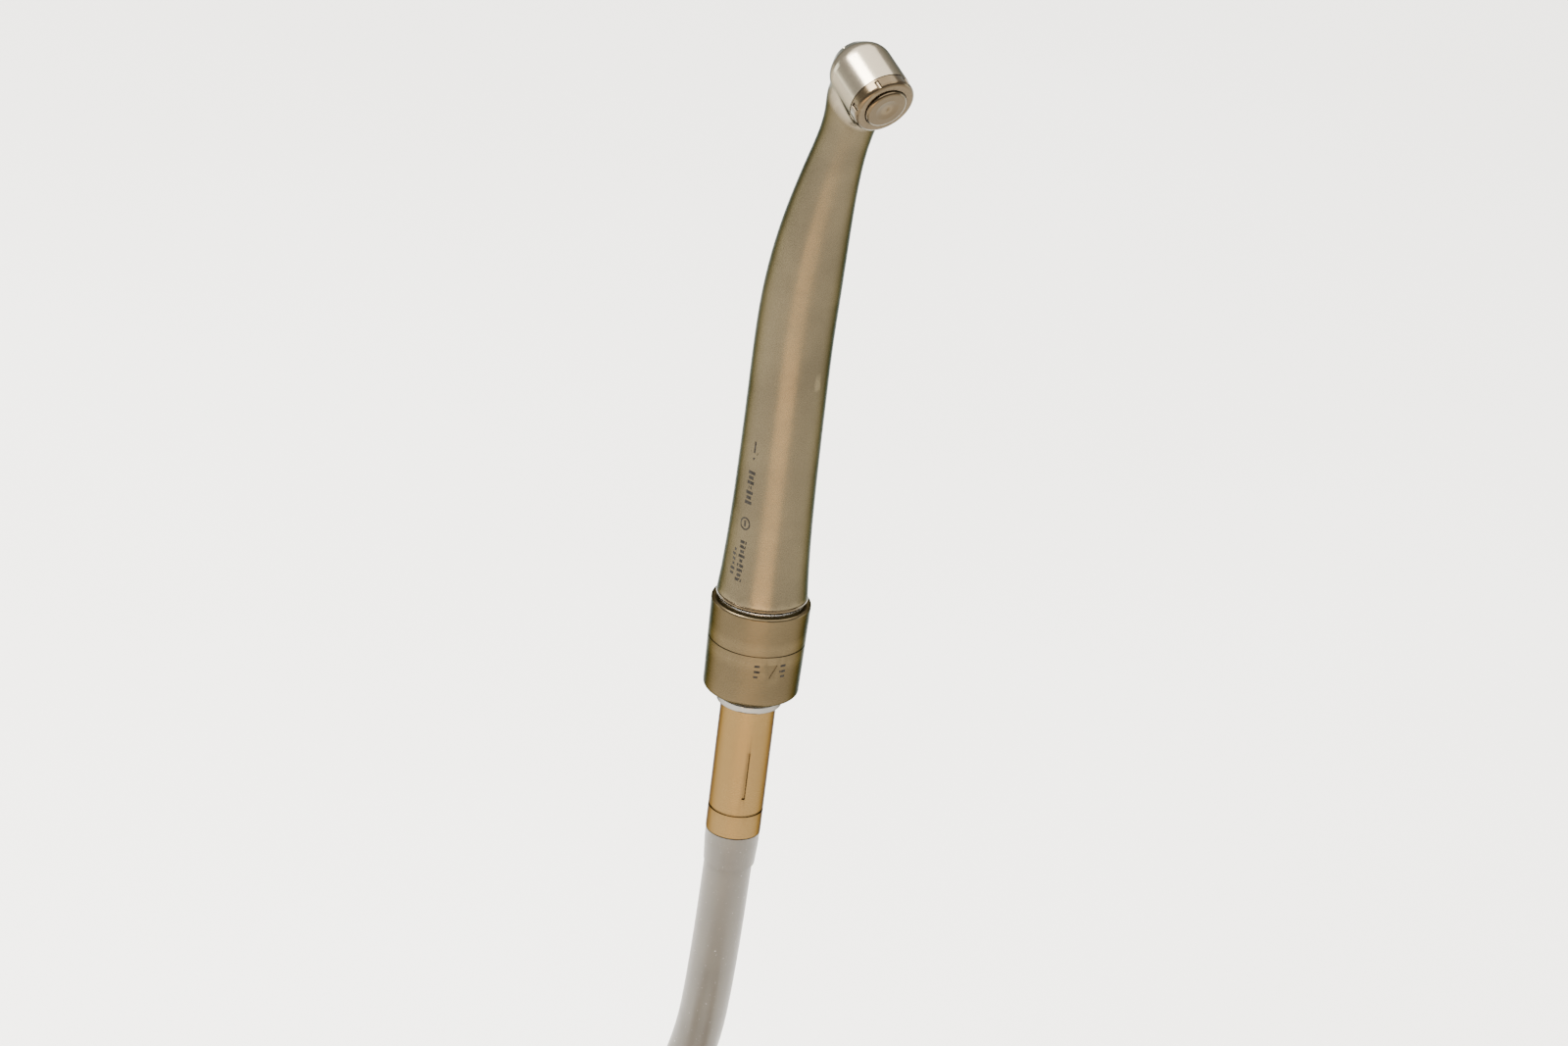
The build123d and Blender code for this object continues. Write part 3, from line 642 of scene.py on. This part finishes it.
MATERIALS = {
    "satin_steel": metal("satin_steel", (0.080, 0.065, 0.040), (0.061, 0.050, 0.032), 0.26,
                         edge=SATIN_EDGE,
                         # the head: a brighter tone that is painted brightness, and less roughness from
                         # real polish
                         polished=(HEAD_PLACE, HEAD_AXIS, 5.6 * MM, (0.33, 0.285, 0.22), 0.15)),
    "polished_steel": metal("polished_steel", (0.66, 0.64, 0.60), (0.60, 0.585, 0.55), 0.15, marks=0.8),
    "chrome": metal("chrome", (0.17, 0.163, 0.150), (0.14, 0.134, 0.125), 0.06, bump=0.04,
                    marks=0.4, edge=(0.3, 0.3, 0.3)),
    "warm_satin_metal": metal("warm_satin_metal", (0.115, 0.073, 0.028), (0.090, 0.058, 0.024),
                              0.26, 700.0, TURNED, edge=(0.26, 0.30, 0.36)),
    "brass": metal("brass", (0.78, 0.62, 0.32), (0.66, 0.50, 0.25), 0.22, 700.0, TURNED),
    "bearing_steel": metal("bearing_steel", (0.62, 0.62, 0.62), (0.55, 0.55, 0.55), 0.16, marks=0.3),
    "spring_steel": metal("spring_steel", (0.50, 0.50, 0.50), (0.40, 0.40, 0.41), 0.24),
    "turbine_aluminium": metal("turbine_aluminium", (0.76, 0.77, 0.78), (0.66, 0.67, 0.68), 0.28),
    "ceramic_balls": soft("ceramic_balls", (0.05, 0.05, 0.055), (0.03, 0.03, 0.035), 0.14, 4000, 0.05),
    "cage_resin": soft("cage_resin", (0.32, 0.18, 0.07), (0.20, 0.11, 0.05), 0.5, 4000, 0.2),
    "black_rubber": soft("black_rubber", (0.03, 0.03, 0.03), (0.015, 0.015, 0.015), 0.55, 3000, 0.3, 0.3),
    "hose_grey": soft("hose_grey", (0.074, 0.067, 0.053), (0.060, 0.054, 0.044), 0.36, 2500, 0.18, 0.35),
    "tie_fabric": woven("tie_fabric", (0.05, 0.05, 0.055), (0.012, 0.012, 0.014)),
}
ETCHED = etched("etched_marks")
SLEEVE_FINISH = metal("turned_steel", (0.068, 0.051, 0.028), (0.054, 0.041, 0.023), 0.27, 700.0, TURNED,
                      edge=SATIN_EDGE)
# Darker, browner steel for the back cap, push button and swivel ring: a painted dark reflection on the
# same steel.
CAP_PAINTED_REFLECTION = metal("cap_steel_painted_reflection", (0.068, 0.050, 0.029), (0.054, 0.040, 0.024), 0.18)


def dress(thing, material):
    """Gives an object one material."""
    thing.data.materials.clear()
    thing.data.materials.append(material)


def dress_everything(made, marks):
    for part in frame["record"]["subparts"]:
        dress(frame["nodes"][part["node"]], MATERIALS[part["material_slot"]])
    for node in ("coupler_sleeve", "coupler_housing"):
        dress(frame["nodes"][node], SLEEVE_FINISH)
    # the cap, button and ring get the steel with the painted darker reflection
    for node in ("back_cap", "push_button", "swivel_ring"):
        dress(frame["nodes"][node], CAP_PAINTED_REFLECTION)
    for piece, slot in made:
        dress(piece, MATERIALS[slot])
    for piece in marks:
        dress(piece, ETCHED)


# ---- stage ------------------------------------------------------------------------------------

FLOOR_Z = CAD_BOX[0].z - 0.2 * MM
FLOOR_REACH = 9.0


def make_floor():
    """A plain pale surface with a very slight mottle."""
    mesh = bpy.data.meshes.new("floor")
    corners = [(-FLOOR_REACH, -FLOOR_REACH), (FLOOR_REACH, -FLOOR_REACH),
               (FLOOR_REACH, FLOOR_REACH), (-FLOOR_REACH, FLOOR_REACH)]
    mesh.from_pydata([(x, y, FLOOR_Z) for x, y in corners], [], [(0, 1, 2, 3)])
    floor = bpy.data.objects.new("floor", mesh)
    bpy.context.scene.collection.objects.link(floor)
    s = Shader("floor")
    s.colour(s.ramp(s.noise(6.0, 3.0), [(0.3, (0.83, 0.81, 0.77)), (0.7, (0.86, 0.845, 0.81))]))
    s.set(Roughness=0.75)
    mesh.materials.append(s.material)


def area_light(name, place, target, size, power, colour):
    data = bpy.data.lights.new(name, "AREA")
    data.shape = "RECTANGLE"
    data.size, data.size_y = size
    data.energy = power
    data.color = colour
    light = bpy.data.objects.new(name, data)
    light.location = place
    light.rotation_mode = "QUATERNION"
    light.rotation_quaternion = (Vector(target) - Vector(place)).to_track_quat("-Z", "Y")
    light.visible_camera = False
    bpy.context.scene.collection.objects.link(light)


def make_lights():
    """A window that shines off the head, a wide ceiling, a warm low card in front, cool strips at
    the sides, and a pale room."""
    middle = Vector((0.004, 0, 0.04))
    head = HEAD_PLACE
    cap_side = HEAD_AXIS * BACK.dot(HEAD_AXIS)
    facing = (BACK - cap_side).normalized()
    window = 2 * BACK.dot(facing) * facing - BACK
    area_light("window", head + window * 0.8, head, (0.30, 0.40), 22.0, (1.0, 0.99, 0.98))
    area_light("ceiling", Vector((0, 0, 2.2)), Vector((0, 0, 0)), (4.0, 4.0), 290.0, (1.0, 0.985, 0.96))
    front = LEVEL_BACK * 0.42 + Vector((0, 0, -0.055))
    area_light("warm_card", front, middle, (0.34, 0.10), 1.3, (1.0, 0.62, 0.29))
    left = LEVEL_BACK * -0.25 - RIGHT * 0.9 + Vector((0, 0, 0.1))
    area_light("left_strip", left, middle, (0.25, 0.36), 2.0, (0.90, 0.98, 0.92))
    right = LEVEL_BACK * -0.25 + RIGHT * 0.9 + Vector((0, 0, 0.1))
    area_light("right_strip", right, middle, (0.25, 0.36), 2.0, (0.90, 0.98, 0.92))
    world = bpy.data.worlds.new("world")
    bpy.context.scene.world = world
    world.use_nodes = True
    background = world.node_tree.nodes["Background"]
    background.inputs["Color"].default_value = (0.86, 0.85, 0.82, 1.0)
    background.inputs["Strength"].default_value = 1.5


hose = make_hose()
strap = make_strap()
make_springs()
marks = make_all_marks()
springs = [bpy.data.objects[name] for name in ("sleeve_coil_spring", "button_coil_spring")]
made = [(hose, "hose_grey"), (strap, "tie_fabric")] + [(spring, "spring_steel") for spring in springs]
dress_everything(made, marks)
make_floor()
make_lights()

bpy.context.view_layer.update()
